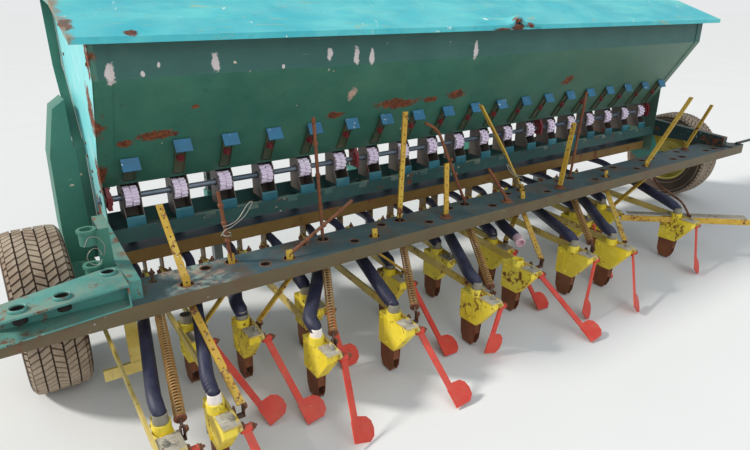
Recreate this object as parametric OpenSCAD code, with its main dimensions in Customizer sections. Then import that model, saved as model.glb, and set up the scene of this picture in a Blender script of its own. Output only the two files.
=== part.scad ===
// Mounted seed drill, 19 rows, seen in the photograph from behind its left end
// X is across the machine, Y is the direction of travel, Z is up, millimetres
// The origin is on the ground, in the middle of the machine's box

/* [Rows] */
// Number of seed rows
rows = 19; // [15:2:19]
// Distance from the outer row to the end plate
end_space = 100; // [95:1:105]

/* [Hopper] */
// Width over the end plates
hopper_w = 3350; // [3200:10:3500]
// Height of the fold in the rear panel
fold_z = 1035; // [1000:1:1060]
// Sheet thickness of hopper and lid
sheet_t = 3; // [2:0.5:4]
// How far the lid reaches past each end plate
lid_over = 53; // [45:1:60]

/* [Feed] */
// Height of the feed shaft
feed_z = 594; // [580:1:600]
// Radius of a feed roller over its studs
roller_r = 38; // [34:1:39]
// Width of a feed roller
roller_w = 48; // [40:1:50]
// Studs around one ring of a feed roller
roller_studs = 12; // [8:1:14]
// Radius of the feed shaft
shaft_r = 11; // [9:0.5:12]

/* [Coulters] */
// Distance from feed shaft back to the front rank
front_rank = 430; // [420:1:440]
// Distance from feed shaft back to the rear rank
rear_rank = 740; // [730:1:750]
// Height of a coulter body
coulter_h = 225; // [215:1:230]
// Length of the covering arms that lie back
cover_l = 300; // [280:5:310]

/* [Beam] */
// Height of the top of the rear beam
beam_z = 440; // [435:1:450]
// Width of the rear beam, front to back
beam_w = 180; // [170:1:190]
// Radius of the large holes in the beam
beam_hole_r = 20; // [19:0.5:22]

/* [Wheels] */
// Tyre radius
tyre_r = 280; // [270:1:290]
// Tyre width
tyre_w = 185; // [165:1:190]
// Rim radius under the tyre bead
rim_r = 168; // [160:1:175]

/* [Linkage] */
// Distance of each lower hitch point from the middle
hitch_x = 412; // [400:1:435]
// Radius of a lower hitch pin hole
hitch_r = 14.35; // [14:0.05:15]
// Height from lower to upper hitch point
mast_h = 610; // [560:1:620]
// Radius of the upper hitch pin hole
mast_r = 12.85; // [12.5:0.05:13.5]

/* [Fits] */
// Radial play of a turning shaft in its bore
run = 0.05; // [0.03:0.01:0.1]
// Gap around the sliding parking leg
slide_gap = 0.3; // [0.2:0.1:1]

/* [Hidden] */
row_gap = (hopper_w - 2 * end_space) / (rows - 1);
front_reach = 462;
half = hopper_w / 2;
first_x = -(rows - 1) / 2 * row_gap;
rear_y = -261;
front_y = 330;
floor_z = 645;
floor_y = -14;
panel_tilt = atan2(floor_y - rear_y, fold_z - floor_z);
wheel_x = half + 239.5;
wheel_y = -87;
beam_back = -560;
beam_front = beam_back + beam_w;
hole_back = -505;
hole_front = -425;
beam_left = -half - 385;
beam_right = half + 175;
rail_bottom = 338;
rail_top = 390;
rod_x = 31;
arm_x = half + 40;
hitch_z = beam_z;

// Coulters as they hang in the photograph, the bent ones out of line: spout that feeds it, place in rows, rank,
// distance behind its rank, hose under the rail off its spout, hose at the front rank in rows, hole of its rod
// in the beam, side of the rod's foot, spring or flat bar, sideways and backward swing of its covering arm
C_SPOUT = 0; C_AT = 1; C_REAR = 2; C_OFF = 3; C_PASS = 4; C_TURN = 5; C_HOLE = 6; C_FOOT = 7; C_SPRING = 8;
C_SIDE = 9; C_BACK = 10;
none = 99;
coulters = [
    [0, -0.91, 1, 115, -25, none, -0.46, 35, 1, 110, -90],
    [1, -0.10, 1, 115, 0, none, 0, 51, 0, 25, -225],
    [none, 0.26, 0, -30, 0, none, 1, 35, 0, 95, -271],
    [2, 1.2, 0, 50, 0, none, 2, 35, 0, 29, -250],
    [4, 2.09, 1, -20, 20, 3, 3, 35, 1, -64, -193],
    [3, 2.71, 0, 10, 6, none, none, 35, 0, 8, -98],
    [5, 3.79, 1, -7, -24, none, 5, 60, 1, 18, -203],
    [6, 4.89, 0, 10, -31, none, 4, 35, 0, -14, -250],
    [8, 5.84, 1, 30, 5, none, 7, 35, 1, -60, 0],
    [7, 6.54, 0, -40, 0, none, none, 35, 0, none, 0],
    [10, 7.70, 1, -66, 0, 8.45, 8.55, 92, 0, 37, -263],
    [9, 8.14, 0, 20, 0, none, 9, 35, 0, -22, -206],
    [11, 9.5, 1, -30, 6, none, 11, 70, 1, -234, -130],
    [13, 10.7, 1, 15, -28, 11.86, 12, 35, 0, -205, -179],
    [12, 11.6, 0, 0, 0, none, none, 35, 0, -150, -240],
    [14, 12.9, 0, 0, -9, none, 14, 35, 0, none, 0],
    [16, 13.97, 1, -2, 0, none, 15, 35, 2, -180, -126]];
function cx(c) = row_x(c[C_AT]);
function cy(c) = -(c[C_REAR] == 1 ? rear_rank : front_rank) - c[C_OFF];
function cover_y(c) = c[C_BACK] * cover_l / 300;
rear_reach = max([for (c = coulters) 84 - cy(c) - cover_y(c) + 2]);
feed_y = (rear_reach - front_reach) / 2;
cover_drop = 190;

// Pressure rods above the beam: row, sideways lean, backward lean, top height, round or flat
ROD_ROW = 0; ROD_DX = 1; ROD_DY = 2; ROD_TOP = 3; ROD_ROUND = 4;
rods = [
    [0, 0, 215, 637, 0], [1, -18, 10, 686, 1], [2, 267, 20, 590, 1], [3, -14, 10, 887, 1], [5, 35, 20, 866, 0],
    [6, -18, -10, 670, 0], [7, -98, 20, 693, 1], [8, -106, 20, 601, 1], [9, -108, 30, 646, 0], [10, 61, 10, 741, 0],
    [11, 60, 10, 856, 1], [14, 368, 20, 767, 0], [17, 120, -45, 699, 0]];

function row_x(i) = first_x + i * row_gap;
function hole_y(i) = floor(i) % 2 == 0 ? hole_back : hole_front;
function hole_x(i) = row_x(i) + rod_x;

// A folded sheet as one outline: the points of one face, the other face offset by t
function unit(v) = v / norm(v);
function side(a, b) = [-(b - a)[1], (b - a)[0]] / norm(b - a);
function corner(p, i) =
    let (n0 = i > 0 ? side(p[i - 1], p[i]) : side(p[0], p[1]),
         n1 = i < len(p) - 1 ? side(p[i], p[i + 1]) : n0)
    (n0 + n1) / (1 + n0 * n1);
function folded(p, t) = concat(p, [for (i = [len(p) - 1 : -1 : 0]) p[i] + t * corner(p, i)]);

module placed() translate([0, feed_y, 0]) children();
module along_x(w) rotate([90, 0, 90]) linear_extrude(w, center = true) children();
// A bent sheet running along X, centred on x
module sheet(points, t, w, x = 0) translate([x, 0, 0]) along_x(w) polygon(folded(points, t));
// A plate in the YZ plane from x0 to x1
module plate(points, x0, x1) translate([(x0 + x1) / 2, 0, 0]) along_x(abs(x1 - x0)) polygon(points);
// A straight bar between two points, w wide and t thick
module bar(a, b, w, t)
    translate(a)
        rotate([0, acos((b - a)[2] / norm(b - a)), atan2((b - a)[1], (b - a)[0])])
            translate([-t / 2, -w / 2, 0]) cube([t, w, norm(b - a)]);
module rod(a, b, r)
    translate(a)
        rotate([0, acos((b - a)[2] / norm(b - a)), atan2((b - a)[1], (b - a)[0])])
            cylinder(r = r, h = norm(b - a), $fn = 32);
module tube_path(p, r)
    for (i = [0 : len(p) - 2]) {
        rod(p[i], p[i + 1], r);
        if (i > 0) translate(p[i]) sphere(r = r + 1.4, $fn = 32);
    }
// Places children on the sloping rear panel, s below the fold, local -Y pointing outwards
module on_panel(x, s) translate([x, rear_y, fold_z]) rotate([panel_tilt, 0, 0]) translate([0, 0, -s]) children();
module both() { children(); mirror([1, 0, 0]) children(); }

module end_plate() {
    difference() {
        plate([[rear_y, 1177], [rear_y, fold_z], [-75, 741], [-75, 330], [150, 330], [150, 760],
            [front_y, fold_z], [front_y, 1276], [140, 1276], [-62, 1250]], half - 4, half);
        translate([half - 10, 0, feed_z]) rotate([0, 90, 0]) cylinder(r = shaft_r + 8, h = 20, $fn = 48);
    }
    sheet([[150, 330], [150, 760], [front_y, fold_z], [front_y, 1276]], sheet_t, 35, half + 17.5);
    sheet([[rear_y, 1172], [rear_y, fold_z], [floor_y, floor_z]], -sheet_t, 50, half - 29);
}

module hopper() color([0.17, 0.36, 0.31]) placed() {
    difference() {
        sheet([[rear_y, 1172], [rear_y, fold_z], [floor_y, floor_z], [72, floor_z], [front_y, fold_z],
            [front_y, 1272]], sheet_t, hopper_w - 8);
        for (i = [0 : rows - 1]) on_panel(row_x(i), 435) translate([-16, -10, -14]) cube([32, 20, 28]);
    }
    both() end_plate();
}

lid_hinge = [344, 1264];
lid_hinge_x = [for (k = [-1, -0.346, 0.346, 1]) k * (half - 375)];
module lid() color([0.33, 0.77, 0.81]) placed() {
    w = hopper_w + 2 * lid_over;
    sheet([[-333, 1143], [-333, 1162], [-60, 1264], [150, 1290], [364, 1290], [364, 1272]], -sheet_t, w);
    both() plate([[-330, 1146], [-330, 1160], [-59, 1261], [150, 1287], [361, 1287], [361, 1274],
        [150, 1270], [-55, 1244]], w / 2 - sheet_t, w / 2);
    for (x = lid_hinge_x)
        translate([x, 0, 0]) difference() {
            union() {
                plate([[341, 1264], [347, 1264], [347, 1287], [341, 1287]], 1, 41);
                translate([1, lid_hinge[0], lid_hinge[1]]) rotate([0, 90, 0]) cylinder(r = 9, h = 40, $fn = 40);
            }
            translate([-5, lid_hinge[0], lid_hinge[1]]) rotate([0, 90, 0]) cylinder(r = 5 + run, h = 60, $fn = 40);
        }
}

module lid_hinges() color([0.35, 0.35, 0.3]) placed()
    for (x = lid_hinge_x) translate([x, 0, 0]) {
        plate([[330, 1200], [334, 1200], [334, 1255], [352, 1262], [346, 1273], [336, 1270], [330, 1262]], -40, 0);
        translate([-40, lid_hinge[0], lid_hinge[1]]) rotate([0, 90, 0]) cylinder(r = 9, h = 40, $fn = 40);
        translate([-40, lid_hinge[0], lid_hinge[1]]) rotate([0, 90, 0]) cylinder(r = 5, h = 84, $fn = 40);
        translate([42, lid_hinge[0], lid_hinge[1]]) rotate([0, 90, 0]) cylinder(r = 8, h = 4, $fn = 40);
    }

module shutter_slides() color([0.3, 0.34, 0.25]) placed()
    for (i = [0 : rows - 1]) let (l = i == 0 ? 105 : 165) on_panel(row_x(i), 440) {
        translate([-20, -4, 0]) cube([40, 4, l]);
        for (sx = [-1, 1]) translate([sx * 18.5 - 1.5, -10, 0]) cube([3, 6, l]);
    }

module shutter_tabs() color([0.18, 0.49, 0.63]) placed()
    for (i = [0 : rows - 1]) on_panel(row_x(i), 275 + (i == 0 ? 60 : 0))
        translate([0, -4.3, 3.4]) rotate([118, 0, 0]) translate([-30, 0, 0]) cube([60, 4, 46]);

module shutter_knobs() color([0.43, 0.14, 0.18]) placed()
    for (i = [0 : rows - 1]) on_panel(row_x(i), 358) translate([0, -4, 0]) rotate([90, 0, 0]) {
        cylinder(r = 14, h = 6, $fn = 40);
        cylinder(r = 8, h = 18, $fn = 40);
    }

cup_out = [[-30, floor_z], [-30, 632], [-46, 600], [-46, 540], [-30, 512], [56, 512], [56, floor_z]];
module feed_cups() color([0.5, 0.42, 0.4]) placed()
    for (i = [0 : rows - 1]) translate([row_x(i), 0, 0]) {
        for (sx = [-1, 1]) difference() {
            plate([[-8, floor_z], [-24, 622], [-24, 560], [-40, 530], [-40, 503], [52, 503], [52, floor_z]],
                sx * 30, sx * 33);
            translate([sx * 31.5 - 5, 0, feed_z]) rotate([0, 90, 0]) cylinder(r = shaft_r + 5, h = 10, $fn = 40);
        }
        plate([[49, 503], [52, 503], [52, floor_z], [49, floor_z]], -30, 30);
    }

module feed_flaps() color([0.18, 0.45, 0.55]) placed()
    for (i = [0 : rows - 1]) translate([row_x(i), 0, 0]) {
        plate([[-46, 522], [-40, 528], [-40, 488], [-46, 488]], -33, 33);
        plate([[-40, 505], [-8, 509], [-8, 505], [-40, 501]], -29, 29);
    }

bearing_x = [-half + 24, -3.5 * row_gap, 3.5 * row_gap, half - 24];
module feed_bearings() color([0.45, 0.14, 0.18]) placed()
    for (x = bearing_x) translate([x, 0, 0]) {
        difference() {
            union() {
                plate([[-30, 560], [30, 560], [34, floor_z], [-14, floor_z], [-34, 610]], -7, 7);
                translate([-12, 0, feed_z]) rotate([0, 90, 0]) cylinder(r = 24, h = 24, $fn = 40);
            }
            translate([-20, 0, feed_z]) rotate([0, 90, 0]) cylinder(r = shaft_r + run, h = 40, $fn = 48);
        }
    }

module feed_shaft() color([0.4, 0.45, 0.5]) placed()
    translate([-half - 12, 0, feed_z]) rotate([0, 90, 0]) cylinder(r = shaft_r, h = hopper_w + 2, $fn = 48);

function studded(r, n, k) = [for (j = [0 : n - 1]) for (c = [[0, r - 7], [0.25, r], [0.62, r], [0.87, r - 7]])
    let (a = (j + c[0] + k) * 360 / n) [c[1] * cos(a), c[1] * sin(a)]];
module feed_rollers() color([0.8, 0.73, 0.84]) placed()
    for (i = [0 : rows - 1]) translate([row_x(i), 0, feed_z]) rotate([0, 90, 0]) difference() {
        union() {
            translate([0, 0, -roller_w / 2]) linear_extrude(roller_w / 2 - 2) polygon(studded(roller_r, roller_studs, 0));
            translate([0, 0, -3]) cylinder(r = roller_r - 9, h = 6, $fn = 40);
            translate([0, 0, 2]) linear_extrude(roller_w / 2 - 2) polygon(studded(roller_r, roller_studs, 0.5));
        }
        translate([0, 0, -40]) cylinder(r = shaft_r, h = 80, $fn = 48);
    }

spout_y = 104;
module seed_trough() color([0.16, 0.36, 0.33]) placed() {
    difference() {
        sheet([[126, 503], [126, 446], [-76, 446], [-76, 500]], -sheet_t, hopper_w - 8);
        for (i = [0 : rows - 1]) {
            translate([row_x(i), spout_y, 440]) cylinder(r = 15, h = 20, $fn = 40);
            translate([row_x(i) + row_gap / 2 - 22, -90, 480]) cube([44, 40, 30]);
        }
    }
    for (i = [0 : rows - 1]) translate([row_x(i), spout_y, 408]) difference() {
        cylinder(r = 18, h = 38, $fn = 40);
        translate([0, 0, -1]) cylinder(r = 15, h = 41, $fn = 40);
    }
}

module box_tube(x0, x1, y0, y1, z0, z1, t)
    difference() {
        translate([x0, y0, z0]) cube([x1 - x0, y1 - y0, z1 - z0]);
        translate([x0 - 1, y0 + t, z0 + t]) cube([x1 - x0 + 2, y1 - y0 - 2 * t, z1 - z0 - 2 * t]);
    }

module main_rail() color([0.45, 0.36, 0.14]) placed() {
    box_tube(-half + 4, half - 4, -20, 80, rail_bottom, rail_top, 5);
    for (c = coulters) if (c[C_AT] > -0.5)
        plate([[-14, 250], [34, 250], [34, rail_bottom], [-14, rail_bottom]], cx(c) + 28, cx(c) + 34);
}

module front_frame() color([0.16, 0.38, 0.34]) placed() {
    box_tube(-half + 275, half - 275, 300, 380, 330, 400, 6);
    for (x = [-leg_x, -hitch_x, hitch_x, leg_x]) translate([x - 25, 80, 340]) cube([50, 220, 48]);
    both() translate([leg_x, 0, 0]) leg_sleeve();
}

module headstock() color([0.16, 0.4, 0.37]) placed() {
    lug_y = 425;
    for (sx = [-1, 1]) {
        for (k = [-1, 1]) difference() {
            plate([[380, 345], [lug_y + 10, 400], [lug_y + 30, hitch_z], [lug_y, hitch_z + 30], [380, 470],
                [344, 470], [344, 400], [380, 400]], sx * hitch_x + k * 30, sx * hitch_x + k * 42);
            translate([sx * hitch_x - 60, lug_y, hitch_z]) rotate([0, 90, 0]) cylinder(r = hitch_r, h = 120, $fn = 48);
        }
        translate([0, 380, 0]) rotate([90, 0, 0]) linear_extrude(36) polygon([[sx * (hitch_x - 92), 400],
            [sx * (hitch_x - 28), 400], [sx * 94, hitch_z + mast_h + 20], [sx * 30, hitch_z + mast_h + 20]]);
        difference() {
            plate([[342, hitch_z + mast_h - 110], [395, hitch_z + mast_h - 60], [lug_y, hitch_z + mast_h - 30],
                [lug_y + 28, hitch_z + mast_h], [lug_y, hitch_z + mast_h + 28], [342, hitch_z + mast_h + 40]],
                sx * 28, sx * 40);
            translate([-60, lug_y, hitch_z + mast_h]) rotate([0, 90, 0]) cylinder(r = mast_r, h = 120, $fn = 48);
        }
    }
    translate([-28, 344, hitch_z + mast_h - 90]) cube([56, 12, 120]);
    translate([-240, 352, 700]) cube([480, 20, 50]);
}

leg_x = half - 525;
module leg_sleeve() difference() {
    translate([-26 - slide_gap, 380, 300]) cube([52 + 2 * slide_gap, 52 + 2 * slide_gap, 140]);
    translate([-20 - slide_gap, 386, 290]) cube([40 + 2 * slide_gap, 40 + 2 * slide_gap, 160]);
}
module leg() {
    difference() {
        translate([-20, 386 + slide_gap, 6]) cube([40, 40, 520]);
        translate([-16, 390 + slide_gap, 5]) cube([32, 32, 530]);
        for (z = [260 : 60 : 500]) translate([-30, 406 + slide_gap, z]) rotate([0, 90, 0]) cylinder(r = 7, h = 60, $fn = 24);
    }
    translate([-55, 352, 0]) cube([110, 110, 6]);
}
module parking_leg_left() color([0.3, 0.34, 0.34]) placed() translate([-leg_x, 0, 0]) leg();
module parking_leg_right() color([0.3, 0.34, 0.34]) placed() translate([leg_x, 0, 0]) leg();

module side_arms() color([0.5, 0.88, 0.86]) placed()
    both() difference() {
        plate([[-4, 545], [beam_front, 512], [beam_back + 40, 500], [beam_back + 40, beam_z], [beam_front, beam_z],
            [-4, 438]], half, arm_x);
        plate([[-20, 538], [beam_front, 505], [beam_back + 60, 494], [beam_back + 60, beam_z + 6],
            [beam_front, beam_z + 6], [-20, 446]], half + 6, arm_x + 1);
    }

module rear_beam() color([0.2, 0.42, 0.46]) placed() {
    difference() {
        translate([beam_left, beam_back, 392]) cube([beam_right - beam_left, beam_w, beam_z - 392]);
        translate([beam_left - 1, beam_back + 6, 391]) cube([beam_right - beam_left + 2, beam_w - 12, beam_z - 6 - 391]);
        for (i = [0 : rows - 1]) {
            translate([hole_x(i), hole_y(i), 430]) cylinder(r = beam_hole_r, h = 20, $fn = 48);
            translate([hole_x(i + 0.5), hole_y(i + 1), 430]) cylinder(r = 17, h = 20, $fn = 40);
        }
        for (c = coulters) if (c[C_HOLE] != floor(c[C_HOLE]))
            translate([hole_x(c[C_HOLE]), hole_y(c[C_HOLE]), 430]) cylinder(r = 14, h = 20, $fn = 40);
    }
}

module end_brackets() color([0.45, 0.84, 0.82]) placed() {
    translate([-half, 0, 0]) {
        difference() {
            translate([0, 0, 504]) linear_extrude(6) polygon([[-385, -600], [-45, -560], [-45, -410], [-90, -410],
                [-385, -500]]);
            for (p = [[-310, -548], [-205, -535], [-73, -448]]) translate([p[0], p[1], 500]) cylinder(r = 18, h = 20, $fn = 48);
        }
        translate([-385, -506, beam_z]) cube([340, 6, 64]);
        translate([-45, -560, beam_z]) cube([5, 150, 70]);
        translate([0, 0, beam_z]) linear_extrude(5) polygon([[-385, -600], [-45, -560], [-45, -506], [-385, -506]]);
    }
    // right end: tapered bracket and the stub of a marker rod
    translate([half, 0, beam_z]) linear_extrude(6) polygon([[42, -390], [42, -560], [175, -560], [175, -520]]);
    translate([half + 125, -540, beam_z + 14]) rotate([0, 90, 0]) cylinder(r = 8, h = 260, $fn = 32);
}

module marker_hinge() color([0.32, 0.45, 0.36]) placed()
    translate([-half - 101, -370, 0]) {
        for (z = [[470, 517], [582, 630]]) difference() {
            union() {
                translate([0, 0, z[0]]) cylinder(r = 24, h = z[1] - z[0], $fn = 48);
                translate([0, 0, z[1] - 8]) cylinder(r = 28, h = 8, $fn = 48);
            }
            translate([0, 0, z[0] - 1]) cylinder(r = 18, h = 60, $fn = 48);
        }
        translate([0, 4, 0]) rotate([90, 0, 0]) linear_extrude(8) polygon([[22, 472], [95, 472], [95, 498], [60, 498],
            [60, 622], [22, 622]]);
    }

module chain_case() color([0.14, 0.36, 0.27]) placed() translate([-half, 0, 0]) {
    // upright case in front of the end plate's flange, narrower at its top
    translate([0, 290, 0]) rotate([90, 0, 0]) linear_extrude(140) polygon([[-38, 250], [-125, 250], [-128, 460],
        [-117, 740], [-81, 905], [-38, 935]]);
    translate([-38, 150, 330]) cube([38, 140, 430]);
    difference() {
        plate([[-56, 250], [150, 250], [150, 330], [-56, 330]], -125, -38);
        translate([-140, wheel_y, tyre_r]) rotate([0, 90, 0]) cylinder(r = 40, h = 120, $fn = 48);
    }
}

module wheel_carriers() color([0.2, 0.4, 0.36]) placed() both() {
    plate([[-140, 300], [-130, 235], [-44, 235], [120, 330], [120, 434], [-75, 434]], half, half + 15);
    translate([half + 15, wheel_y, tyre_r]) rotate([0, 90, 0]) cylinder(r = 34, h = 110, $fn = 48);
    translate([half + 15, wheel_y, tyre_r]) rotate([0, 90, 0]) cylinder(r = 20, h = 290, $fn = 48);
    translate([half + 300, wheel_y, tyre_r]) rotate([0, 90, 0]) cylinder(r = 26, h = 8, $fn = 48);
}

module tyre() rotate([0, 90, 0]) rotate_extrude($fn = 96) polygon([
    [rim_r, -62], [rim_r + 14, -66], [rim_r + 40, -86], [rim_r + 72, -tyre_w / 2], [tyre_r - 16, -86],
    [tyre_r - 2, -70], [tyre_r, -46], [tyre_r - 7, -45], [tyre_r - 7, -39], [tyre_r, -38], [tyre_r, -16],
    [tyre_r - 7, -15], [tyre_r - 7, -9], [tyre_r, -8], [tyre_r, 8], [tyre_r - 7, 9], [tyre_r - 7, 15], [tyre_r, 16],
    [tyre_r, 38], [tyre_r - 7, 39], [tyre_r - 7, 45], [tyre_r, 46], [tyre_r - 2, 70], [tyre_r - 16, 86],
    [rim_r + 72, tyre_w / 2], [rim_r + 40, 86], [rim_r + 14, 66], [rim_r, 62]]);
module rim() rotate([0, 90, 0]) {
    rotate_extrude($fn = 64) polygon([[20 + run, -40], [44, -40], [44, -12], [90, -14], [120, 10], [rim_r - 12, 14],
        [rim_r - 12, -58], [rim_r, -62], [rim_r, 62], [rim_r - 12, 58], [rim_r - 12, 20], [118, 16], [88, -6], [44, -4],
        [44, 50], [20 + run, 50]]);
}
module tyre_left() color([0.6, 0.54, 0.47]) placed() translate([-wheel_x, wheel_y, tyre_r]) tyre();
module tyre_right() color([0.6, 0.54, 0.47]) placed() translate([wheel_x, wheel_y, tyre_r]) tyre();
module rim_left() color([0.7, 0.65, 0.3]) placed() translate([-wheel_x, wheel_y, tyre_r]) mirror([1, 0, 0]) rim();
module rim_right() color([0.7, 0.65, 0.3]) placed() translate([wheel_x, wheel_y, tyre_r]) rim();

// Side of a coulter that its drag arm lies on: the one outside the hopper has it outside
function arm_side(c) = c[C_AT] < -0.5 ? -1 : 1;
function rod_foot(c) = [cx(c) + c[C_FOOT], cy(c) - 40, 244];
function knee(h) = [hole_x(h), hole_y(h) - 12, 380];
function above(h) = [hole_x(h), hole_y(h), 452];

module drag_arms() color([0.78, 0.7, 0.15]) placed()
    for (c = coulters) let (y0 = arm_side(c) > 0 ? 26 : -124, y1 = cy(c) - 96, out = arm_side(c) > 0 ? 20 : 33) translate([cx(c), 0, 0]) {
        plate([[y0, 284], [y1, 232], [y1 - 12, 218], [y1, 203], [y0, 252]], arm_side(c) * out, arm_side(c) * (out + 8));
        translate([arm_side(c) > 0 ? -21 : -out - 1, cy(c) - 100, coulter_h]) cube([out + 22, 68, 6]);
        if (arm_side(c) < 0) {
            plate([[cy(c) - 28, 232], [y1, 232], [y1 - 12, 218], [y1, 203], [cy(c) - 28, 203]], 20, 28);
            translate([-out - 8, -130, 270]) rotate([0, 90, 0]) cylinder(r = 6, h = out + 8 - half - cx(c) - 15, $fn = 32);
        }
    }

module coulter_bodies() color([0.85, 0.77, 0.12]) placed()
    for (c = coulters) translate([cx(c), cy(c), 0]) difference() {
        union() {
            plate([[70, coulter_h], [70, 105], [-20, 105], [-90, 195], [-90, coulter_h]], -20, 20);
            translate([-6, 0, coulter_h]) cylinder(r = 25, h = 28, $fn = 48);
        }
        translate([-6, 0, coulter_h + 4]) cylinder(r = 19, h = 30, $fn = 48);
        translate([-6, 0, 120]) cylinder(r = 13, h = 130, $fn = 48);
    }

module coulter_boots() color([0.42, 0.23, 0.15]) placed()
    for (c = coulters) translate([cx(c), cy(c), 0])
        plate([[68, 105], [64, 50], [42, 6], [8, 4], [-8, 40], [-16, 105]], -14, 14);

// Length of a covering arm: its paddle's lowest corner stays above the ground
function cover_length(c, l, a, b) = min(concat([l], [for (q = [[-14, 0], [44, 0], [62, 16], [66, 40]])
    (cover_drop + 5 - q[0] * sin(b) - 2.5 * abs(sin(a)) * cos(b)) / cos(a) / cos(b) + q[1]]));
module cover_arms() color([0.78, 0.25, 0.16]) placed()
    for (c = coulters) if (c[C_SIDE] != none) let (r = norm([c[C_SIDE], cover_y(c), cover_drop]),
        a = asin(cover_y(c) / r), b = atan2(-c[C_SIDE], cover_drop), l = cover_length(c, r, a, b))
        translate([cx(c) + 43, cy(c) - 84, 8 + cover_drop]) {
            translate([-15, 0, 0]) rotate([0, 90, 0]) cylinder(r = 11, h = 30, $fn = 40);
            rotate([a, b, 0]) {
                translate([-11, -3, -l + 20]) cube([22, 6, l - 20]);
                translate([0, 2.5, 0]) rotate([90, 0, 0]) linear_extrude(5) polygon([[-14, -l], [44, -l], [62, -l + 16],
                    [66, -l + 40], [60, -l + 62], [44, -l + 76], [-2, -l + 80], [-14, -l + 64]]);
            }
        }

module rod_or_bar(a, b, round) if (round == 1) rod(a, b, 6); else bar(a, b, 22, 6);
module pressure_rods() color([0.7, 0.6, 0.14]) placed() {
    for (c = coulters) if (c[C_HOLE] != none) let (e = rod_foot(c), k = knee(c[C_HOLE]), u = above(c[C_HOLE]), l = norm(k - e)) {
        translate([cx(c) + 28, cy(c) - 49, 206]) cube([c[C_FOOT] - 21, 18, 44]);
        if (c[C_SPRING] == 1) {
            translate(e) rotate([0, acos((k - e)[2] / l), atan2((k - e)[1], (k - e)[0])]) translate([0, 0, 24])
                cylinder(r = 17, h = 5, $fn = 40);
            tube_path([e, k, u, u + [0, 0, 18]], 6);
        } else if (c[C_SPRING] == 2) {
            tube_path([e, e + [50, 70, 36], e + [120, 170, 44], e + [170, 290, 70], k, u, u + [0, 0, 18]], 6);
        } else {
            bar(e, k, 22, 6);
            bar(k, u + [0, 0, 18], 22, 6);
        }
    }
    for (r = rods) if (r[ROD_ROW] < rows) let (u = above(r[ROD_ROW])) {
        rod_or_bar(u, [u[0] + r[ROD_DX], u[1] + r[ROD_DY], r[ROD_TOP]], r[ROD_ROUND]);
        if (len([for (c = coulters) if (c[C_HOLE] == r[ROD_ROW]) 1]) == 0) {
            rod([u[0], u[1], 380], [u[0], u[1], 452], 8);
            translate([u[0], u[1], beam_z]) cylinder(r = 25, h = 5, $fn = 40);
        }
    }
}

module springs() color([0.5, 0.38, 0.16]) placed()
    for (c = coulters) if (c[C_SPRING] == 1) let (e = rod_foot(c), k = knee(c[C_HOLE]), l = norm(k - e), n = 14, p = (l - 41) / n)
        translate(e) rotate([0, acos((k - e)[2] / l), atan2((k - e)[1], (k - e)[0])]) translate([0, 0, 29])
            rotate_extrude($fn = 32) polygon(concat([[10, n * p], [10, 0]],
                [for (k = [0 : n - 1]) for (q = [[11.5, 0], [16, 0.3], [16, 0.7]]) [q[0], (k + q[1]) * p]], [[11.5, n * p]]));

// A hose drops from its spout in front of the rail, passes under the rail and lies back to its coulter
function hose_points(c) = let (xs = row_x(c[C_SPOUT]), xp = xs + c[C_PASS], x = cx(c) - 6, y = cy(c))
    concat([[xs, spout_y, c[C_PASS] == 0 ? 408 : 407.7 - 18 * abs(c[C_PASS]) / norm([c[C_PASS], 64])], [xp, spout_y, 336], [xp, 84, 312], [xp, -30, 310]],
        c[C_TURN] != none ? [[row_x(c[C_TURN]), -front_rank - 10, 306]] : [],
        c[C_SPOUT] == 10 ? [[x + 73, y + 74, 302]] : [[x, y + 46, 294], [x, y, 277], [x, y, coulter_h + 30]]);
module seed_hoses() color([0.1, 0.1, 0.19]) placed()
    for (c = coulters) if (c[C_SPOUT] != none) tube_path(hose_points(c), 18);

module hose_ends() color([0.9, 0.87, 0.84]) placed()
    for (c = coulters) let (x = cx(c) - 6, y = cy(c))
        if (c[C_SPOUT] == 10) rod([x + 73, y + 74, 302], [x + 54, y + 36, 294], 20);
        else translate([x, y, coulter_h + 4]) cylinder(r = 19, h = 26, $fn = 40);

module track_bracket() color([0.7, 0.64, 0.2]) placed() {
    translate([-half - 47, beam_front, 148]) cube([38, 8, 288]);
    translate([-half - 131, beam_front - 2, 110]) cube([122, 12, 40]);
}

hopper();
lid();
lid_hinges();
shutter_slides();
shutter_tabs();
shutter_knobs();
feed_cups();
feed_flaps();
feed_bearings();
feed_shaft();
feed_rollers();
seed_trough();
main_rail();
front_frame();
headstock();
parking_leg_left();
parking_leg_right();
side_arms();
rear_beam();
end_brackets();
marker_hinge();
chain_case();
wheel_carriers();
tyre_left();
tyre_right();
rim_left();
rim_right();
drag_arms();
coulter_bodies();
coulter_boots();
cover_arms();
pressure_rods();
springs();
seed_hoses();
hose_ends();
track_bracket();
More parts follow.
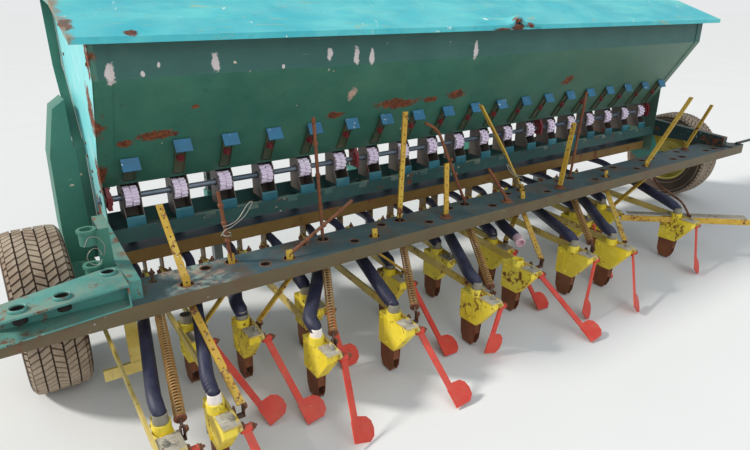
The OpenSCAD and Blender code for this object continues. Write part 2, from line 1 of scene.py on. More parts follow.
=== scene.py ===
import bpy
import bmesh
import math
import random
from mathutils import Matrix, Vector


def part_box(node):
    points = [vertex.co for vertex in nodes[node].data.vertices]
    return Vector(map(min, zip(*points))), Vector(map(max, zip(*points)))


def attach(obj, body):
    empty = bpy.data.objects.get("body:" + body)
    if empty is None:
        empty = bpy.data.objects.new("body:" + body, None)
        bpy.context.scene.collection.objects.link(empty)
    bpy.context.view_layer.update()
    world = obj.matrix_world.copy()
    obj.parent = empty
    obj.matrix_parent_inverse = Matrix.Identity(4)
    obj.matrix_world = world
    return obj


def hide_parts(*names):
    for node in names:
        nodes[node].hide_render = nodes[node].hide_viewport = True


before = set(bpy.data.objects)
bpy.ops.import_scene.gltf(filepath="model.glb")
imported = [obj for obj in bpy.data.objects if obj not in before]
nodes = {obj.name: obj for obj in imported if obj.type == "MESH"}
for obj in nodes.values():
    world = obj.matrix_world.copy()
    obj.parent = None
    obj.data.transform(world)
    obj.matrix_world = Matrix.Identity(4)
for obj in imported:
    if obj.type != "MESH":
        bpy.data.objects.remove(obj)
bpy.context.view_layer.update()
random.seed(19)
scene = bpy.context.scene
X1, Y1, Z1 = Vector((1, 0, 0)), Vector((0, 1, 0)), Vector((0, 0, 1))

# Work measures are millimetres from the feed shaft's middle, as in the part's source
FY = (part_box("feed_shaft")[0][1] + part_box("feed_shaft")[1][1]) / 2


def P(x, y, z):
    """A point given in work measures, in the frame's metres."""
    return Vector((x / 1000.0, FY + y / 1000.0, z / 1000.0))


# Camera, fitted to the photograph
CAM_DOWN, CAM_RIGHT = 21.148, 34.228    # degrees below the horizon and to the right of straight ahead
cam_data = bpy.data.cameras.new("view_camera")
cam_data.lens = 27.449
cam_data.sensor_width = 36.0
cam_data.clip_end = 90.0
cam = bpy.data.objects.new("view_camera", cam_data)
scene.collection.objects.link(cam)
cam.location = (-1.952, FY - 2.138, 1.247)
cam.rotation_euler = (math.radians(90 - CAM_DOWN), 0.0, math.radians(-CAM_RIGHT))
scene.camera = cam

# Material tools


def lin(c):
    """A colour of 0 to 255 as the linear colour that the sockets take."""
    return tuple(((v / 255.0) / 12.92) if v <= 10 else (((v / 255.0) + 0.055) / 1.055) ** 2.4
                 for v in c) + (1.0,)


class Tree:
    """Short names for the nodes of one material."""

    def __init__(self, name):
        self.mat = bpy.data.materials.new(name)
        self.mat.use_nodes = True
        self.t = self.mat.node_tree
        self.bsdf = self.t.nodes["Principled BSDF"]
        self.co = self.node("ShaderNodeTexCoord").outputs["Object"]

    def node(self, kind, **props):
        n = self.t.nodes.new(kind)
        for k, v in props.items():
            setattr(n, k, v)
        return n

    def put(self, value, socket):
        if isinstance(value, bpy.types.NodeSocket):
            self.t.links.new(value, socket)
        else:
            socket.default_value = value

    def stretch(self, scale, loc=(0, 0, 0)):
        n = self.node("ShaderNodeMapping")
        self.put(self.co, n.inputs["Vector"])
        n.inputs["Scale"].default_value = scale
        n.inputs["Location"].default_value = loc
        return n.outputs[0]

    def noise(self, scale, detail=4.0, rough=0.55, vec=None, dist=0.0):
        n = self.node("ShaderNodeTexNoise")
        self.put(vec or self.co, n.inputs["Vector"])
        n.inputs["Scale"].default_value = scale
        n.inputs["Detail"].default_value = detail
        n.inputs["Roughness"].default_value = rough
        n.inputs["Distortion"].default_value = dist
        return n.outputs["Fac"]

    def math(self, op, a, b, clamp=False):
        n = self.node("ShaderNodeMath", operation=op, use_clamp=clamp)
        self.put(a, n.inputs[0])
        self.put(b, n.inputs[1])
        return n.outputs[0]

    def add(self, a, b, clamp=False):
        return self.math("ADD", a, b, clamp)

    def times(self, a, b):
        return self.math("MULTIPLY", a, b)

    def jitter(self, amount, scale, detail, rough=0.55):
        """Noise around zero, for a ragged edge."""
        return self.times(self.math("SUBTRACT", self.noise(scale, detail, rough), 0.5), amount)

    def step(self, value, lo, hi, out_lo=0.0, out_hi=1.0):
        n = self.node("ShaderNodeMapRange", interpolation_type="SMOOTHSTEP")
        self.put(value, n.inputs["Value"])
        n.inputs["From Min"].default_value = lo
        n.inputs["From Max"].default_value = hi
        n.inputs["To Min"].default_value = out_lo
        n.inputs["To Max"].default_value = out_hi
        return n.outputs[0]

    def mix(self, fac, a, b):
        n = self.node("ShaderNodeMix", data_type="RGBA")
        self.put(fac, n.inputs[0])
        self.put(a, n.inputs[6])
        self.put(b, n.inputs[7])
        return n.outputs[2]

    def axis(self, which, source=None):
        n = self.node("ShaderNodeSeparateXYZ")
        self.put(source or self.co, n.inputs[0])
        return n.outputs[which]

    def facing(self, which, lo, hi):
        """1 where the surface faces along an axis."""
        return self.step(self.axis(which, self.node("ShaderNodeNewGeometry").outputs["Normal"]), lo, hi)

    def bump(self, height, strength, distance):
        n = self.node("ShaderNodeBump")
        n.inputs["Strength"].default_value = strength
        n.inputs["Distance"].default_value = distance
        self.put(height, n.inputs["Height"])
        return n.outputs[0]

    def blob(self, centre, radius, soft, squeeze):
        """1 inside a ragged patch round a point."""
        d = self.node("ShaderNodeVectorMath", operation="SUBTRACT")
        self.put(self.co, d.inputs[0])
        d.inputs[1].default_value = centre
        m = self.node("ShaderNodeVectorMath", operation="MULTIPLY")
        self.put(d.outputs[0], m.inputs[0])
        m.inputs[1].default_value = squeeze
        n = self.node("ShaderNodeVectorMath", operation="LENGTH")
        self.put(m.outputs[0], n.inputs[0])
        wobble = self.jitter(radius * 2.2, 34, 5, 0.7)
        return self.step(self.add(n.outputs["Value"], wobble), radius, radius * soft)


RUST_BROWN, RUST_ORANGE, RUST_DARK = (94, 48, 27), (139, 74, 38), (60, 34, 26)


def aged(name, base, tone, rust=0.25, chips=0.2, chip_color=(205, 190, 170), dust=0.2,
         dust_color=(168, 156, 134),
         rough=0.5, streaks=0.2, scale=1.0, metal=0.0, bump=0.25, spots=(), extra=None):
    """Old paint: tone changes, chips, rust in noise patches and in spots, dust on top, streaks down the
    sides.
    """
    t = Tree(name)
    big = t.noise(2.2 * scale, 3)
    mid = t.noise(11 * scale, 5, 0.6)
    fine = t.noise(70 * scale, 6, 0.65)
    col = t.mix(t.step(t.add(t.times(big, 0.6), t.times(mid, 0.4)), 0.35, 0.68), lin(base), lin(tone))
    dark = tuple(int(c * 0.62) for c in base)
    col = t.mix(t.step(t.noise(36 * scale, 5, 0.7), 0.55, 0.8, 0, 0.55), col, lin(dark))
    if extra:
        col = extra(t, col)
    if streaks:
        run = t.noise(1.0, 6, 0.7, t.stretch((55 * scale, 55 * scale, 2.2)))
        col = t.mix(t.step(run, 0.56, 0.78, 0, streaks), col, lin(tuple(int(c * 0.5 + 40) for c in base)))
    roughness = t.add(rough - 0.1, t.times(mid, 0.25))
    height = t.times(fine, 0.5)
    if chips:
        flakes = t.add(t.times(t.noise(52 * scale, 3), 0.55), t.times(t.noise(6 * scale, 2), 0.45))
        chipped = t.step(flakes, 0.69 - 0.1 * chips, 0.705 - 0.1 * chips)
        col = t.mix(chipped, col, lin(chip_color))
        height = t.math("SUBTRACT", height, t.times(chipped, 0.6))
    if rust:
        wide = t.noise(3.1 * scale, 3, vec=t.stretch((1, 1, 1), (7, 3, 1)))
        grain = t.add(t.times(t.noise(19 * scale, 6, 0.7), 0.6), t.times(wide, 0.4))
        rusty = t.step(grain, 0.68 - 0.22 * rust, 0.74 - 0.2 * rust)
        for x, y, z, radius, squeeze in spots:
            rusty = t.math("MAXIMUM", rusty, t.blob(P(x, y, z), radius, 0.6, squeeze))
        rust_col = t.mix(t.step(t.noise(80 * scale, 5), 0.4, 0.65), lin(RUST_BROWN), lin(RUST_ORANGE))
        rust_col = t.mix(t.step(t.noise(23 * scale, 4), 0.5, 0.75), rust_col, lin(RUST_DARK))
        col = t.mix(rusty, col, rust_col)
        roughness = t.math("MAXIMUM", roughness, t.times(rusty, 0.85))
        height = t.add(height, t.times(rusty, 0.5))
    if dust:
        settled = t.times(t.facing(2, 0.35, 0.95), t.step(t.noise(9 * scale, 5, 0.65), 0.35, 0.7, 0, dust))
        smeared = t.step(t.noise(4 * scale, 6, 0.7), 0.5, 0.8, 0, dust * 0.5)
        dusty = t.add(settled, smeared, clamp=True)
        col = t.mix(dusty, col, lin(dust_color))
        roughness = t.add(roughness, t.times(dusty, 0.3), clamp=True)
    t.put(col, t.bsdf.inputs["Base Color"])
    t.put(roughness, t.bsdf.inputs["Roughness"])
    t.bsdf.inputs["Metallic"].default_value = metal
    t.put(t.bump(height, bump, 0.0015), t.bsdf.inputs["Normal"])
    return t.mat


# Pale chips on the rear panel's upper strip: x, z, radius, squeeze in height
STRIP_CHIPS = ((-1623, 1051, 0.017, 0.45), (-1301, 1077, 0.015, 0.45), (-1480, 1072, 0.007, 0.7),
               (-1530, 1048, 0.007, 0.7), (-873, 1074, 0.012, 0.5), (-757, 1065, 0.014, 0.4),
               (-689, 1062, 0.012, 0.4), (-150, 1062, 0.016, 0.4), (-1060, 1044, 0.007, 0.9))


def panel_wear_and_painted_sun(t, col):
    """Hopper: dusty towards the panel's right end, faded upper strip, and painted sunlight in pale blue green
    on the left end plate's outer face.
    """
    x = t.axis(0)
    z = t.axis(2)
    col = t.mix(t.step(t.noise(5, 6, 0.65), 0.42, 0.75, 0, 0.5), col, lin((78, 124, 100)))
    far = t.times(t.step(t.add(x, t.jitter(1.6, 2.5, 5)), -0.6, 1.7, 0, 0.46),
                  t.step(z, 0.64, 1.0, 1.0, 0.75))
    col = t.mix(far, col, lin((104, 116, 98)))
    low = t.step(t.add(z, t.times(t.noise(7, 4), 0.16)), 0.84, 0.70, 0, 0.4)
    col = t.mix(low, col, lin((34, 62, 54)))
    strip = t.times(t.step(z, 1.03, 1.04), t.step(x, -1.66, -1.655))
    col = t.mix(strip, col, t.mix(t.noise(8, 4), lin((26, 78, 72)), lin((48, 100, 92))))
    for px, pz, radius, tall in STRIP_CHIPS:
        col = t.mix(t.blob(P(px, -262, pz), radius, 0.7, (1, 1, tall)), col, lin((202, 192, 190)))
    col = t.mix(t.blob(P(-735, -186, 915), 0.018, 0.5, (0.9, 0.6, 0.45)), col, lin((196, 164, 146)))
    scratches = t.step(t.noise(1.0, 5, 0.8, t.stretch((4, 60, 60), (1, 2, 9)), 0.4), 0.70, 0.73, 0, 0.6)
    col = t.mix(scratches, col, lin((150, 160, 134)))
    # painted sunlight: the left end plate's outer face, facing -X, is painted pale blue green, greyer towards
    # its bottom
    side = t.times(t.step(x, -1.6745, -1.6752), t.facing(0, -0.5, -0.9))
    pale = t.mix(t.step(t.noise(12, 5, 0.7), 0.5, 0.72), lin((140, 232, 236)), lin((190, 242, 244)))
    painted_sun_greyer_low = t.step(t.add(z, t.times(t.noise(9, 5), 0.3)), 0.98, 0.72, 0, 0.45)
    pale = t.mix(painted_sun_greyer_low, pale, lin((140, 160, 154)))
    return t.mix(side, col, pale)


def lid_tones(t, col):
    """Lid: cloudy fading, brown scratches, pale flecks and a rusty left end."""
    x = t.axis(0)
    faded = t.step(t.noise(3.3, 5, 0.6, t.stretch((1, 2.5, 1))), 0.45, 0.75, 0, 0.6)
    col = t.mix(faded, col, lin((112, 212, 206)))
    scratch = t.step(t.noise(1.0, 6, 0.75, t.stretch((5, 34, 9), (3, 1, 2)), 1.2), 0.59, 0.67, 0, 0.65)
    col = t.mix(scratch, col, lin((178, 170, 108)))
    flecks = t.step(t.noise(1.0, 5, 0.7, t.stretch((13, 9, 9), (0, 5, 0)), 0.8), 0.65, 0.69, 0, 0.85)
    col = t.mix(flecks, col, lin((226, 234, 226)))
    end = t.step(t.add(x, t.jitter(0.16, 16, 6, 0.7)), -1.70, -1.73, 0, 0.8)
    return t.mix(end, col, lin((150, 104, 60)))


def beam_tones(t, col):
    """Beam: blue grey top, brown grey flanges, bare pale patch near the left end, brown dirt."""
    up = t.facing(2, 0.5, 0.9)
    flange = t.mix(t.noise(10, 5), lin((86, 84, 62)), lin((108, 88, 56)))
    col = t.mix(t.math("SUBTRACT", 1.0, up), col, flange)
    ragged = t.add(t.axis(0), t.jitter(0.34, 14, 6, 0.7))
    patch = t.times(t.step(ragged, -1.60, -1.54), t.step(ragged, -1.38, -1.46))
    worn = t.mix(t.step(t.noise(22, 5, 0.7), 0.4, 0.62), lin((150, 176, 164)), lin((188, 140, 118)))
    bare = t.times(t.times(patch, up), t.step(t.noise(30, 5, 0.7), 0.42, 0.58, 0, 0.8))
    col = t.mix(bare, col, worn)
    brown = t.step(t.noise(7, 6, 0.7, t.stretch((1, 1, 1), (2, 8, 3))), 0.46, 0.64, 0, 0.7)
    return t.mix(brown, col, lin((98, 74, 52)))


def rail_tones(t, col):
    """Main rail: blue paint is left on its top."""
    painted = t.times(t.facing(2, 0.5, 0.9), t.step(t.noise(9, 5, 0.65), 0.25, 0.5))
    return t.mix(painted, col, t.mix(t.noise(14, 5), lin((60, 80, 108)), lin((52, 82, 88))))


def arm_painted_shade(t, col):
    """Side arms: painted shade turns the right one dark green."""
    return t.mix(t.step(t.axis(0), 1.55, 1.6), col, lin((20, 52, 52)))


def top_plates(t, col):
    """Grey worn plates on the coulters, where the drag arms end."""
    z = t.axis(2)
    band = t.times(t.step(z, 0.2245, 0.2250), t.step(z, 0.2330, 0.2320))
    grey = t.mix(t.step(t.noise(26, 5, 0.7), 0.42, 0.62), lin((150, 144, 130)), lin((188, 182, 168)))
    return t.mix(t.times(band, t.facing(2, 0.5, 0.9)), col, grey)


def tyre_dirt(t, col):
    """Patches of brown soil."""
    soil = t.step(t.noise(7, 5, 0.65, t.stretch((1, 1, 1), (4, 1, 6))), 0.47, 0.66, 0, 0.6)
    return t.mix(soil, col, lin((112, 82, 58)))


# Rust spots at the photograph's places: x, y, z, radius, squeeze along each axis
HOPPER_RUST = ((-1480, -132, 830, 0.024, (0.34, 1, 1)), (-1585, -120, 812, 0.018, (0.6, 1, 1)),
               (-781, -129, 827, 0.020, (0.4, 1, 1)), (-480, -143, 846, 0.030, (0.22, 1, 1)),
               (-300, -143, 850, 0.018, (0.3, 1, 1)), (-150, -150, 860, 0.030, (0.5, 1, 1)),
               (625, -158, 872, 0.034, (0.6, 1, 1)), (-1360, -190, 925, 0.012, (0.7, 1, 1)),
               (-1675, -140, 930, 0.050, (1, 1, 0.5)), (-1675, -60, 700, 0.034, (1, 1, 0.4)),
               (-1675, 60, 560, 0.050, (1, 1, 1)), (-1675, -240, 1100, 0.030, (1, 1, 0.4)))
LID_RUST = ((24, -334, 1152, 0.020, (0.35, 1, 1)), (24, -330, 1180, 0.016, (0.4, 1, 1)),
            (96, -330, 1160, 0.016, (0.4, 1, 1)), (-1716, -250, 1196, 0.024, (1, 0.4, 1)),
            (-1560, -318, 1172, 0.012, (0.5, 0.4, 1)), (-70, -333, 1146, 0.007, (0.10, 1, 1)))
CLEAN = dict(rust=0.0, chips=0.0, streaks=0.0)
BARE = dict(chips=0.0, streaks=0.0)

# Look: material name, colour, lighter tone, wear
FINISHES = {
    "hopper": ("paint_hopper", (50, 104, 88), (62, 120, 100), dict(
        rust=0.14, chips=0.16, dust=0.12, streaks=0.3, rough=0.42, extra=panel_wear_and_painted_sun, spots=HOPPER_RUST)),
    "lid": ("paint_lid", (54, 174, 186), (82, 194, 200), dict(
        rust=0.05, chips=0.14, chip_color=(226, 226, 200), dust=0.2, dust_color=(150, 200, 196), rough=0.52,
        streaks=0.0, scale=0.8, extra=lid_tones, bump=0.35, spots=LID_RUST)),
    "dark_green": ("paint_dark_green", (54, 114, 98), (68, 130, 110), dict(rust=0.2, chips=0.12, dust=0.12)),
    "teal": ("paint_teal", (54, 80, 88), (76, 98, 98), dict(
        rust=0.42, chips=0.3, chip_color=(176, 170, 156), dust=0.3, dust_color=(120, 122, 116), scale=1.4,
        extra=beam_tones)),
    "tab": ("paint_tab", (34, 96, 128), (48, 118, 156), dict(
        rust=0.2, chips=0.6, chip_color=(196, 214, 220), dust=0.15, scale=2.0)),
    "slide": ("paint_slide", (66, 78, 60), (88, 92, 70), dict(rust=0.45, chips=0.1, dust=0.3, scale=2.0)),
    "red_paint": ("paint_red", (112, 34, 44), (134, 46, 50), dict(rust=0.3, chips=0.1, dust=0.2, scale=2.0)),
    "roller": ("plastic_roller", (236, 218, 240), (244, 232, 246), dict(
        CLEAN, dust=0.12, dust_color=(170, 146, 160), rough=0.5, scale=3.0)),
    "cup": ("metal_cup", (84, 76, 70), (110, 98, 88), dict(
        rust=0.5, chips=0.1, dust=0.3, scale=2.0, metal=0.2)),
    "flap": ("paint_flap", (40, 102, 116), (62, 128, 140), dict(rust=0.3, chips=0.15, dust=0.2, scale=2.0)),
    "shaft": ("metal_shaft", (96, 108, 122), (126, 136, 148), dict(
        rust=0.25, chips=0.0, dust=0.2, metal=0.6, rough=0.4, scale=2.0)),
    "trough": ("paint_trough", (34, 72, 70), (48, 88, 84), dict(rust=0.42, chips=0.2, dust=0.25)),
    "rail": ("paint_rail", (112, 84, 36), (132, 104, 52), dict(
        rust=0.55, chips=0.15, dust=0.2, dust_color=(112, 102, 86), extra=rail_tones)),
    "frame": ("paint_frame", (46, 112, 102), (62, 134, 122), dict(rust=0.25, chips=0.2, dust=0.3)),
    "bright": ("paint_bright", (58, 120, 114), (84, 150, 140), dict(
        rust=0.7, chips=0.4, chip_color=(186, 204, 190), dust=0.5, dust_color=(146, 142, 120), scale=1.3,
        extra=arm_painted_shade)),
    "leg": ("metal_leg", (78, 86, 86), (100, 108, 106), dict(rust=0.35, chips=0.1, dust=0.3, metal=0.3)),
    "yellow": ("paint_yellow", (232, 206, 40), (242, 222, 80), dict(
        rust=0.6, chips=0.35, chip_color=(120, 80, 44), dust=0.2, scale=2.6)),
    "pale_yellow": ("paint_pale_yellow", (186, 160, 60), (212, 192, 116), dict(
        rust=0.55, chips=0.3, chip_color=(140, 126, 108), dust=0.35, scale=2.4, extra=top_plates)),
    "rod_yellow": ("paint_rod_yellow", (186, 144, 40), (206, 172, 62), dict(
        rust=0.66, chips=0.2, chip_color=(110, 70, 44), dust=0.2, scale=3.2)),
    "clamp": ("paint_clamp", (222, 196, 40), (234, 214, 80), dict(
        rust=0.3, chips=0.2, chip_color=(120, 70, 44), dust=0.2, scale=3.0, bump=0.5)),
    "rust": ("bare_rust", (106, 60, 38), (132, 80, 48), dict(BARE, rust=0.7, dust=0.3, rough=0.8, scale=2.0)),
    "rust_dark": ("dark_rust", (70, 44, 36), (96, 60, 44), dict(
        BARE, rust=0.5, dust=0.25, rough=0.8, scale=2.0)),
    "plate": ("worn_plate", (120, 116, 102), (150, 144, 126), dict(
        rust=0.5, chips=0.25, chip_color=(196, 190, 170), dust=0.35, scale=2.0)),
    "orange": ("paint_orange", (198, 50, 38), (214, 74, 54), dict(
        rust=0.36, chips=0.2, chip_color=(214, 124, 92), dust=0.15, scale=2.2)),
    "spring": ("spring_steel", (160, 120, 62), (186, 144, 82), dict(
        BARE, rust=0.45, dust=0.15, metal=0.2, scale=3.0)),
    "hose": ("rubber_hose", (26, 28, 52), (38, 40, 68), dict(
        CLEAN, dust=0.3, dust_color=(90, 90, 106), rough=0.5, scale=2.0)),
    "white": ("white_plastic", (232, 222, 214), (240, 232, 224), dict(
        CLEAN, dust=0.3, dust_color=(196, 178, 152), rough=0.45, scale=3.0)),
    "pink": ("pink_plastic", (204, 166, 178), (220, 186, 196), dict(
        CLEAN, dust=0.3, dust_color=(150, 120, 120), rough=0.5, scale=3.0)),
    "tyre": ("tyre_rubber", (146, 130, 112), (178, 160, 140), dict(
        CLEAN, dust=0.5, dust_color=(184, 166, 144), rough=0.85, scale=1.6, extra=tyre_dirt)),
    "tyre_dark": ("tyre_groove", (58, 46, 38), (84, 68, 54), dict(
        CLEAN, dust=0.3, dust_color=(120, 102, 84), rough=0.9, scale=1.6)),
    "rim": ("paint_rim", (186, 168, 70), (206, 190, 104), dict(rust=0.4, chips=0.2, dust=0.3)),
    "zinc": ("zinc_bolt", (150, 146, 134), (176, 172, 160), dict(
        BARE, rust=0.4, dust=0.2, metal=0.5, rough=0.45, scale=4.0)),
    # painted highlight: pale colour for the left end plate's flange edge
    "edge": ("edge_painted_highlight", (214, 208, 198), (232, 228, 220), dict(
        rust=0.3, chips=0.0, dust=0.2, rough=0.6, scale=2.0)),
    # painted shade: near black for the insides of holes
    "painted_hole_shade": ("painted_hole_shade", (24, 22, 20), (34, 30, 26), dict(BARE, rust=0.2, dust=0.1, rough=0.9)),
}
M = {look: aged(name, base, tone, **wear) for look, (name, base, tone, wear) in FINISHES.items()}

# Look: the CAD nodes that wear it
WEARS = {
    "hopper": ["hopper"], "lid": ["lid"], "slide": ["lid_hinges", "shutter_slides"], "tab": ["shutter_tabs"],
    "red_paint": ["shutter_knobs", "feed_bearings"], "cup": ["feed_cups"], "flap": ["feed_flaps"],
    "shaft": ["feed_shaft"], "roller": ["feed_rollers"], "trough": ["seed_trough"], "rail": ["main_rail"],
    "frame": ["front_frame", "headstock", "wheel_carriers"], "leg": ["parking_leg_left", "parking_leg_right"],
    "bright": ["side_arms", "end_brackets"], "teal": ["rear_beam"],
    "dark_green": ["marker_hinge", "chain_case"],
    "tyre": ["tyre_left", "tyre_right"], "rim": ["rim_left", "rim_right"],
    "pale_yellow": ["drag_arms", "track_bracket"], "yellow": ["coulter_bodies"], "rust": ["coulter_boots"],
    "orange": ["cover_arms"], "rod_yellow": ["pressure_rods"], "spring": ["springs"], "hose": ["seed_hoses"],
    "white": ["hose_ends"]}
for look, names in WEARS.items():
    for name in names:
        o = nodes[name]
        if not o.material_slots:
            o.data.materials.append(M[look])
        for s in o.material_slots:
            s.material = M[look]

# Mesh tools
BEVEL_ANGLE = 35.0


def piece(name, bm, look, body="frame", smooth=40.0, bevel=0.0):
    """Turns a bmesh into a piece that rides on a body; smooth is the sharp edges' angle in degrees."""
    me = bpy.data.meshes.new(name)
    bmesh.ops.recalc_face_normals(bm, faces=bm.faces)
    bm.to_mesh(me)
    bm.free()
    o = bpy.data.objects.new(name, me)
    scene.collection.objects.link(o)
    me.materials.append(M[look])
    if smooth:
        for p in me.polygons:
            p.use_smooth = True
        me.set_sharp_from_angle(angle=math.radians(smooth))
    if bevel:
        b = o.modifiers.new("edge", "BEVEL")
        b.width = bevel
        b.segments = 2
        b.limit_method = "ANGLE"
        b.angle_limit = math.radians(BEVEL_ANGLE)
    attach(o, body)
    return o


def frame_of(axis, hint=Z1):
    """Three axes at right angles, the last one along the given axis."""
    z = axis.normalized()
    if abs(z.dot(hint)) > 0.98:
        hint = Y1
    x = hint.cross(z).normalized()
    return x, z.cross(x), z


def smooth_path(pts, per):
    """A curve through the points, rounded at each of them."""
    out = []
    n = len(pts)
    for i in range(n - 1):
        p0, p1, p2, p3 = pts[max(i - 1, 0)], pts[i], pts[i + 1], pts[min(i + 2, n - 1)]
        for k in range(per):
            s = k / per
            out.append(0.5 * ((2 * p1) + (p2 - p0) * s + (2 * p0 - 5 * p1 + 4 * p2 - p3) * s * s
                              + (3 * p1 - p0 - 3 * p2 + p3) * s ** 3))
    out.append(pts[-1].copy())
    return out


def rounded_path(pts, radius, step):
    """Straight runs with an arc at each corner, sampled evenly."""
    arc = 8
    out = [pts[0].copy()]
    for a, b, c in zip(pts, pts[1:], pts[2:]):
        u, v = (a - b), (c - b)
        r = min(radius, u.length * 0.48, v.length * 0.48)
        p, q = b + u.normalized() * r, b + v.normalized() * r
        for k in range(arc + 1):
            s = k / arc
            out.append((1 - s) ** 2 * p + 2 * s * (1 - s) * b + s * s * q)
    out.append(pts[-1].copy())
    even = [out[0]]
    rest = 0.0
    for a, b in zip(out, out[1:]):
        d = (b - a).length
        if d < 1e-9:
            continue
        s = step - rest
        while s < d:
            even.append(a.lerp(b, s / d))
            s += step
        rest = d - (s - step)
    even.append(out[-1])
    return even


def ring(bm, middle, x, y, r, seg):
    turns = [2 * math.pi * k / seg for k in range(seg)]
    return [bm.verts.new(middle + x * r * math.cos(a) + y * r * math.sin(a)) for a in turns]


def bridge(bm, a, b):
    """Faces between two rings of as many points."""
    for k in range(len(a)):
        k2 = (k + 1) % len(a)
        bm.faces.new((a[k], a[k2], b[k2], b[k]))


TUBE_HINT = Vector((0.3, 0.2, 1)).normalized()


def tube(bm, pts, r, seg=14, caps=True):
    """Sweeps a circle along points; r is a radius or a function of the share of the way."""
    rings = []
    t0 = (pts[1] - pts[0]).normalized()
    x, y, _ = frame_of(t0, TUBE_HINT)
    n = len(pts)
    for i, p in enumerate(pts):
        t = (pts[min(i + 1, n - 1)] - pts[max(i - 1, 0)]).normalized()
        x = (t0.rotation_difference(t) @ x).normalized()
        x = (x - t * x.dot(t)).normalized()
        y = t.cross(x)
        t0 = t
        rings.append(ring(bm, p, x, y, r(i / (n - 1)) if callable(r) else r, seg))
    for a, b in zip(rings, rings[1:]):
        bridge(bm, a, b)
    if caps:
        bm.faces.new(rings[0][::-1])
        bm.faces.new(rings[-1])


def lathe(bm, origin, axis, profile, seg=24, close=False):
    """Turns (radius, height) points round an axis."""
    x, y, z = frame_of(axis)
    rings = []
    for r, h in profile:
        if r <= 1e-7:
            rings.append([bm.verts.new(origin + z * h)])
        else:
            rings.append(ring(bm, origin + z * h, x, y, r, seg))
    pairs = list(zip(rings, rings[1:]))
    if close:
        pairs.append((rings[-1], rings[0]))
    for a, b in pairs:
        for k in range(seg):
            va, vb = a[k % len(a)], a[(k + 1) % len(a)]
            vc, vd = b[(k + 1) % len(b)], b[k % len(b)]
            f = []
            for v in (va, vb, vc, vd):
                if v not in f:
                    f.append(v)
            if len(f) > 2:
                bm.faces.new(f)


def block(bm, a, b, w, h):
    """A bar from a to b, w wide across and h high."""
    x, y, z = frame_of(b - a)
    v = []
    for p in (a, b):
        for sx, sy in ((-1, -1), (1, -1), (1, 1), (-1, 1)):
            v.append(bm.verts.new(p + x * sx * w / 2 + y * sy * h / 2))
    for f in ((3, 2, 1, 0), (4, 5, 6, 7), (0, 1, 5, 4), (1, 2, 6, 5), (2, 3, 7, 6), (3, 0, 4, 7)):
        bm.faces.new([v[i] for i in f])


def slab(bm, outline, origin, x, y, z, t):
    """A plate: outline points in the plane x, y round origin, t thick along z."""
    lo = [bm.verts.new(origin + x * p[0] + y * p[1]) for p in outline]
    hi = [bm.verts.new(origin + x * p[0] + y * p[1] + z * t) for p in outline]
    bm.faces.new(lo[::-1])
    bm.faces.new(hi)
    bridge(bm, lo, hi)


def oblong(w, h):
    """The outline of a plate w wide, from 0 to h high."""
    return [(-w / 2, 0), (w / 2, 0), (w / 2, h), (-w / 2, h)]


def nut(bm, at, axis, size, height, washer=True, stud=0.0):
    """Hexagon nut or bolt head with rounded corners, on a washer, with the stud's end."""
    x, y, z = frame_of(axis)
    base = 0.0
    if washer:
        base = 0.0022
        disc = [(0, 0), (size * 0.98, 0), (size, 0.0006), (size, 0.0018), (size * 0.95, base), (0, base)]
        lathe(bm, at, axis, disc, 18)
    a0 = random.random() * 6.28
    r = size / 2 / math.cos(math.pi / 6) * 1.3
    rings = []
    for rr, hh in ((r * 0.96, base), (r, base + height * 0.12), (r, base + height * 0.82),
                   (r * 0.86, base + height)):
        turns = [a0 + k * math.pi / 3 for k in range(6)]
        rings.append([bm.verts.new(at + z * hh + (x * math.cos(a) + y * math.sin(a)) * rr) for a in turns])
    for a, b in zip(rings, rings[1:]):
        bridge(bm, a, b)
    bm.faces.new(rings[0][::-1])
    bm.faces.new(rings[-1])
    if stud:
        s = size * 0.33
        thread = [(s, -0.001), (s, stud * 0.3), (s * 0.9, stud * 0.4), (s, stud * 0.5), (s * 0.9, stud * 0.7),
                  (s, stud * 0.8), (s * 0.7, stud), (0, stud)]
        lathe(bm, at + z * (base + height), axis, thread, 12)


def coil(bm, a, b, radius, wire, turns):
    """A helical spring from a to b with one closed turn at each end."""
    per = 16
    x, y, z = frame_of(b - a)
    length = (b - a).length
    lo = wire * 2.1
    hi = length - lo
    out = []
    for i in range(int(turns * per) + 1):
        c = i / per
        if c < 1:
            h = lo * c
        elif c > turns - 1:
            h = length - lo * (turns - c)
        else:
            h = lo + (hi - lo) * (c - 1) / (turns - 2)
        ang = 2 * math.pi * c
        out.append(a + z * h + x * radius * math.cos(ang) + y * radius * math.sin(ang))
    tube(bm, out, wire, 7)


# Layout, as in the part's source
ROWS, GAP, FIRST, FRONT, REAR = 19, 175.0, -1575.0, 430, 740
BEAM_TOP = 440          # top face of the rear beam
SIDE = 1675             # outer face of an end plate
LOOSE = 10              # the spout whose hose has come out of its coulter
